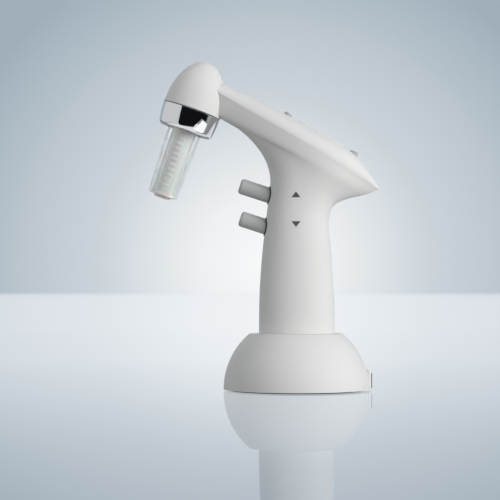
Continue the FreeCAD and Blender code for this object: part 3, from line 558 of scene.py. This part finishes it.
class PIPETTE_OT_rib_adapter(bpy.types.Operator):
    """Mould the row of short ribs on both sides of the silicone adapter"""

    bl_idname = "pipette.rib_adapter"
    bl_label = "Rib the adapter"

    def execute(self, context):
        size = sizes()
        self.sleeve()
        for side, name in ((-1, "adapter_ribs_right"), (1, "adapter_ribs_left")):
            rows = []
            for k in range(size.rib_count):
                rows.append(self.rib(side, size.rib_start - size.rib_pitch * k))
            for edge in (-1, 1):
                rows.append(self.rail(side, edge))
            select_only(*rows)
            bpy.ops.object.join()
            ribs = bpy.context.object
            ribs.name = name
            stand_on_nose_axis(ribs)
            bpy.ops.object.shade_smooth_by_angle(angle=math.radians(40))
            # The ribs take the darker copy of the silicone, which is painted shade.
            dress(ribs, shaded_rib_silicone)
            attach(ribs, "nose")
        return {"FINISHED"}

    def sleeve(self):
        """The sleeve round the adapter that the ribs are moulded on."""
        size = sizes()
        core = size.adapter_radius - size.sleeve_wall
        top, end = size.sleeve_top, size.sleeve_end
        soft = SLEEVE_EDGE
        edge = size.adapter_radius - soft
        profile = (
            arc(edge, top - soft, soft, 80, 10, 4) + arc(edge, end + soft, soft, -10, -80, 4)
            + [(core, end), (core, top)]
        )
        sleeve = turned("adapter_sleeve", profile)
        stand_on_nose_axis(sleeve)
        dress(sleeve, soft_silicone)
        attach(sleeve, "nose")

    def bar(self, side, x0, x1, z0, z1):
        """A bar with soft edges that lies round the sleeve."""
        size = sizes()
        select_only()
        bpy.ops.mesh.primitive_grid_add(x_subdivisions=6, y_subdivisions=2, size=1.0)
        bar = bpy.context.object
        radius = size.adapter_radius - RIB_ROOT
        for vertex in bar.data.vertices:
            x = x0 + (x1 - x0) * (vertex.co.x + 0.5)
            z = z0 + (z1 - z0) * (vertex.co.y + 0.5)
            vertex.co = (x, side * math.sqrt(radius ** 2 - x ** 2), z)
        bpy.ops.object.mode_set(mode="EDIT")
        bpy.ops.mesh.select_all(action="SELECT")
        bpy.ops.mesh.extrude_region_move(
            TRANSFORM_OT_translate={"value": (0, side * size.rib_proud, 0)}
        )
        bpy.ops.mesh.select_all(action="SELECT")
        bpy.ops.mesh.normals_make_consistent(inside=False)
        bpy.ops.object.mode_set(mode="OBJECT")
        soft = bar.modifiers.new("soft_edges", "BEVEL")
        soft.width = RIB_EDGE
        soft.segments = 2
        bpy.ops.object.modifier_apply(modifier="soft_edges")
        return bar

    def rib(self, side, z):
        size = sizes()
        half = size.rib_height / 2
        return self.bar(side, -size.rib_half_width, size.rib_half_width, z - half, z + half)

    def rail(self, side, edge):
        size = sizes()
        x = edge * (size.rib_half_width + RAIL_GAP)
        top = size.rib_start + size.rib_pitch
        end = size.rib_start - size.rib_pitch * size.rib_count
        return self.bar(side, x - RAIL_HALF_WIDTH, x + RAIL_HALF_WIDTH, end, top)


# ---------------------------------------------------------------- studio
HORIZON = 30.0               # radius of the floor and of the wall round it
WALL_HEIGHT = 40.0
LIGHT_AIM = Vector((0, 0, 0.10))
# Painted light on the floor's glow: painted shade darkest round the point under the camera, fading to bright far
# off.
FLOOR_SHADE_POOL = ((-0.03, -1.1, 0), 2.8)             # centre and radius
# Painted light on the backdrop's glow: a pool of light, brightest behind the object.
WALL_LIGHT_POOL = ((0.23, HORIZON, 0.50), 5.6)
FLOOR_SHINE = (0.39, 1.0)    # share of mirror on the near and the far floor
SHINE_GROWS = (0.3 * HORIZON, 0.93 * HORIZON)
# Painted light: floor colours from bright far off (0) to dark near the camera (0.83).
FLOOR_PAINTED_LIGHT = (
    (0.0, (0.85, 0.88, 0.905)), (0.44, (0.80, 0.835, 0.865)), (0.62, (0.67, 0.72, 0.76)),
    (0.71, (0.55, 0.605, 0.655)), (0.83, (0.36, 0.425, 0.485)),
)
# Painted light: backdrop colours from dark away from the pool (0) to bright at its centre (1).
WALL_PAINTED_LIGHT = (
    (0.0, (0.35, 0.43, 0.49)), (0.14, (0.42, 0.50, 0.56)), (0.30, (0.515, 0.575, 0.63)),
    (0.50, (0.60, 0.655, 0.70)), (0.8, (0.85, 0.87, 0.885)), (1.0, (0.93, 0.94, 0.945)),
)
CAMERA_PLACE = Vector((-0.0275, -1.10, 0.0614))
CAMERA_AIM = Vector((-0.0275, 0, 0.0842))


def stage_material(name):
    """An empty node tree, its output and its Object coordinates."""
    material = bpy.data.materials.new(name)
    material.use_nodes = True
    tree = material.node_tree
    tree.nodes.clear()
    out = tree.nodes.new("ShaderNodeOutputMaterial").inputs["Surface"]
    place = tree.nodes.new("ShaderNodeTexCoord").outputs["Object"]
    return material, tree, out, place


def glow(tree, colour):
    """An emission shader whose colour comes from a socket."""
    shader = tree.nodes.new("ShaderNodeEmission")
    tree.links.new(colour, shader.inputs["Color"])
    return shader.outputs["Emission"]


def shades(tree, factor, stops):
    """Colours blended between stops of (position, colour)."""
    ramp = tree.nodes.new("ShaderNodeValToRGB")
    elements = ramp.color_ramp.elements
    while len(elements) < len(stops):
        elements.new(0.5)
    for element, (position, colour) in zip(elements, stops):
        element.position = position
        element.color = tuple(colour) + (1.0,)
    tree.links.new(factor, ramp.inputs["Fac"])
    return ramp.outputs["Color"]


def round_pool(tree, place, centre, radius):
    """A ball of light that is 1 at its centre and 0 from its radius outwards."""
    mapping = tree.nodes.new("ShaderNodeMapping")
    mapping.vector_type = "TEXTURE"
    mapping.inputs["Location"].default_value = centre
    mapping.inputs["Scale"].default_value = (radius, radius, radius)
    shape = tree.nodes.new("ShaderNodeTexGradient")
    shape.gradient_type = "SPHERICAL"
    tree.links.new(place, mapping.inputs["Vector"])
    tree.links.new(mapping.outputs["Vector"], shape.inputs["Vector"])
    return shape.outputs["Fac"]


def mixed(tree, factor, first, second):
    """A blend of two shaders, by a factor socket."""
    mix = tree.nodes.new("ShaderNodeMixShader")
    for source, target in zip((factor, first, second), mix.inputs):
        tree.links.new(source, target)
    return mix.outputs["Shader"]


def card(name, size, location, rotation, colour):
    """A card that only shows in polished metal and through clear plastic, not in the floor."""
    select_only()
    bpy.ops.mesh.primitive_plane_add(size=1.0, location=location, rotation=rotation)
    card = bpy.context.object
    card.name = name
    card.scale = (size[0], size[1], 1.0)
    material, tree, out, _ = stage_material(name)
    shade = tree.nodes.new("ShaderNodeEmission")
    shade.inputs["Color"].default_value = colour + (1.0,)
    clear = tree.nodes.new("ShaderNodeBsdfTransparent")
    sharp = tree.nodes.new("ShaderNodeLightPath").outputs["Is Singular Ray"]
    tree.links.new(mixed(tree, sharp, shade.outputs["Emission"], clear.outputs["BSDF"]), out)
    card.data.materials.append(material)
    card.visible_camera = False
    card.visible_diffuse = False
    card.visible_shadow = False


def area_light(name, location, size, watts):
    """A soft light that faces the middle of the object and doesn't show in gloss."""
    data = bpy.data.lights.new(name, "AREA")
    data.shape = "RECTANGLE"
    data.size, data.size_y = size
    data.energy = watts
    lamp = bpy.data.objects.new(name, data)
    bpy.context.collection.objects.link(lamp)
    lamp.location = location
    aim = LIGHT_AIM - lamp.location
    lamp.rotation_euler = aim.to_track_quat("-Z", "Y").to_euler()
    lamp.visible_glossy = False


class PIPETTE_OT_build_studio(bpy.types.Operator):
    """Add the floor, the backdrop, the lights and the camera"""

    bl_idname = "pipette.build_studio"
    bl_label = "Build the studio"

    def execute(self, context):
        self.floor()
        self.backdrop()
        self.lights()
        self.camera()
        self.world()
        return {"FINISHED"}

    def floor(self):
        select_only()
        bpy.ops.mesh.primitive_circle_add(vertices=96, radius=HORIZON, fill_type="NGON")
        floor = bpy.context.object
        floor.name = "floor"
        material, tree, out, place = stage_material("studio_floor")
        # The floor glows with painted light, darker near the camera and lighter far off.
        colour = shades(tree, round_pool(tree, place, *FLOOR_SHADE_POOL), FLOOR_PAINTED_LIGHT)
        mirror = tree.nodes.new("ShaderNodeBsdfGlossy")
        mirror.inputs["Roughness"].default_value = 0.0
        mirror.inputs["Color"].default_value = (0.97, 0.98, 1.0, 1)
        away = tree.nodes.new("ShaderNodeVectorMath")
        away.operation = "LENGTH"
        tree.links.new(place, away.inputs[0])
        shine = tree.nodes.new("ShaderNodeMapRange")
        shine.interpolation_type = "SMOOTHSTEP"
        shine.inputs["From Min"].default_value, shine.inputs["From Max"].default_value = SHINE_GROWS
        shine.inputs["To Min"].default_value, shine.inputs["To Max"].default_value = FLOOR_SHINE
        tree.links.new(away.outputs["Value"], shine.inputs["Value"])
        surface = mixed(
            tree, shine.outputs["Result"], glow(tree, colour), mirror.outputs["BSDF"]
        )
        tree.links.new(surface, out)
        floor.data.materials.append(material)
        floor.visible_diffuse = False
        floor.visible_glossy = False

    def backdrop(self):
        select_only()
        bpy.ops.mesh.primitive_cylinder_add(
            vertices=96, radius=HORIZON, depth=WALL_HEIGHT, end_fill_type="NOTHING",
            location=(0, 0, WALL_HEIGHT / 2),
        )
        wall = bpy.context.object
        wall.name = "backdrop"
        bpy.ops.object.transform_apply(location=True)
        material, tree, out, place = stage_material("studio_backdrop")
        # The backdrop glows with a painted pool of light, brightest behind the object.
        colour = shades(tree, round_pool(tree, place, *WALL_LIGHT_POOL), WALL_PAINTED_LIGHT)
        tree.links.new(glow(tree, colour), out)
        wall.data.materials.append(material)
        wall.visible_diffuse = False

    def lights(self):
        area_light("key", (1.0, -0.85, 0.38), (0.8, 0.8), 14.6)
        area_light("fill", (-0.95, -0.30, 0.55), (0.7, 1.0), 1.3)
        area_light("top", (-0.25, 0.05, 1.1), (0.7, 0.7), 1.4)
        area_light("back", (-0.15, 1.3, 0.55), (1.0, 0.8), 6.0)
        quarter = math.radians(90)
        black, pale, white = (0.006, 0.006, 0.007), (0.62, 0.625, 0.635), (1.1, 1.1, 1.1)
        card("black_card_front", (2.7, 1.9), (0.25, -1.4, 0.45), (quarter, 0, 0), black)
        card("black_card_right", (1.9, 0.9), (1.6, -0.95, 0.45), (0, quarter, 0), black)
        card("pale_card_left", (1.6, 2.4), (-1.1, -0.25, 0.5), (0, quarter, 0), pale)
        card("white_card_low", (0.45, 0.40), (0.34, -0.24, -0.10), (0, 0, 0), white)
        card("lilac_card_low", (1.6, 1.2), (0.9, 0.80, -0.20), (0, 0, 0), (0.74, 0.74, 0.82))
        card("pale_card_low", (2.2, 2.2), (-0.1, -0.32, -0.50), (0, 0, 0), (0.80, 0.81, 0.83))

    def camera(self):
        data = bpy.data.cameras.new("camera")
        data.lens = 132.0
        data.sensor_width = 36.0
        camera = bpy.data.objects.new("camera", data)
        bpy.context.collection.objects.link(camera)
        camera.location = CAMERA_PLACE
        aim = CAMERA_AIM - CAMERA_PLACE
        camera.rotation_euler = aim.to_track_quat("-Z", "Y").to_euler()
        data.clip_end = 3 * HORIZON
        bpy.context.scene.camera = camera

    def world(self):
        world = bpy.data.worlds.new("studio_dark")
        world.use_nodes = True
        sky = world.node_tree.nodes["Background"]
        sky.inputs["Color"].default_value = (0.97, 0.99, 1.0, 1)
        sky.inputs["Strength"].default_value = 0.27
        bpy.context.scene.world = world
        bpy.context.scene.view_settings.view_transform = "Standard"


# ---------------------------------------------------------------- panel and registration
class PIPETTE_PT_controller(bpy.types.Panel):
    """Lists the steps that finish the pipette controller"""

    bl_idname = "PIPETTE_PT_controller"
    bl_label = "Pipette controller"
    bl_space_type = "VIEW_3D"
    bl_region_type = "UI"
    bl_category = "Pipette controller"

    def draw(self, context):
        for step in STEPS:
            self.layout.operator(step.bl_idname)
        for name in ControllerSizes.__annotations__:
            self.layout.prop(sizes(), name)
        for name in ControllerFinishes.__annotations__:
            self.layout.prop(finishes(), name)


STEPS = (
    PIPETTE_OT_build_studio,
    PIPETTE_OT_finish_frame,
    PIPETTE_OT_turn_collar,
    PIPETTE_OT_rib_adapter,
    PIPETTE_OT_print_arrows,
)
CLASSES = (ControllerSizes, ControllerFinishes, *STEPS, PIPETTE_PT_controller)


def register():
    for each in CLASSES:
        bpy.utils.register_class(each)
    bpy.types.Scene.controller_sizes = PointerProperty(type=ControllerSizes)
    bpy.types.Scene.controller_finishes = PointerProperty(type=ControllerFinishes)


def unregister():
    del bpy.types.Scene.controller_finishes
    del bpy.types.Scene.controller_sizes
    for each in reversed(CLASSES):
        bpy.utils.unregister_class(each)


def main():
    register()
    bpy.ops.pipette.build_studio()
    bpy.ops.pipette.finish_frame()
    bpy.ops.pipette.turn_collar()
    bpy.ops.pipette.rib_adapter()
    bpy.ops.pipette.print_arrows()
    bpy.context.view_layer.update()


if __name__ == "__main__":
    main()
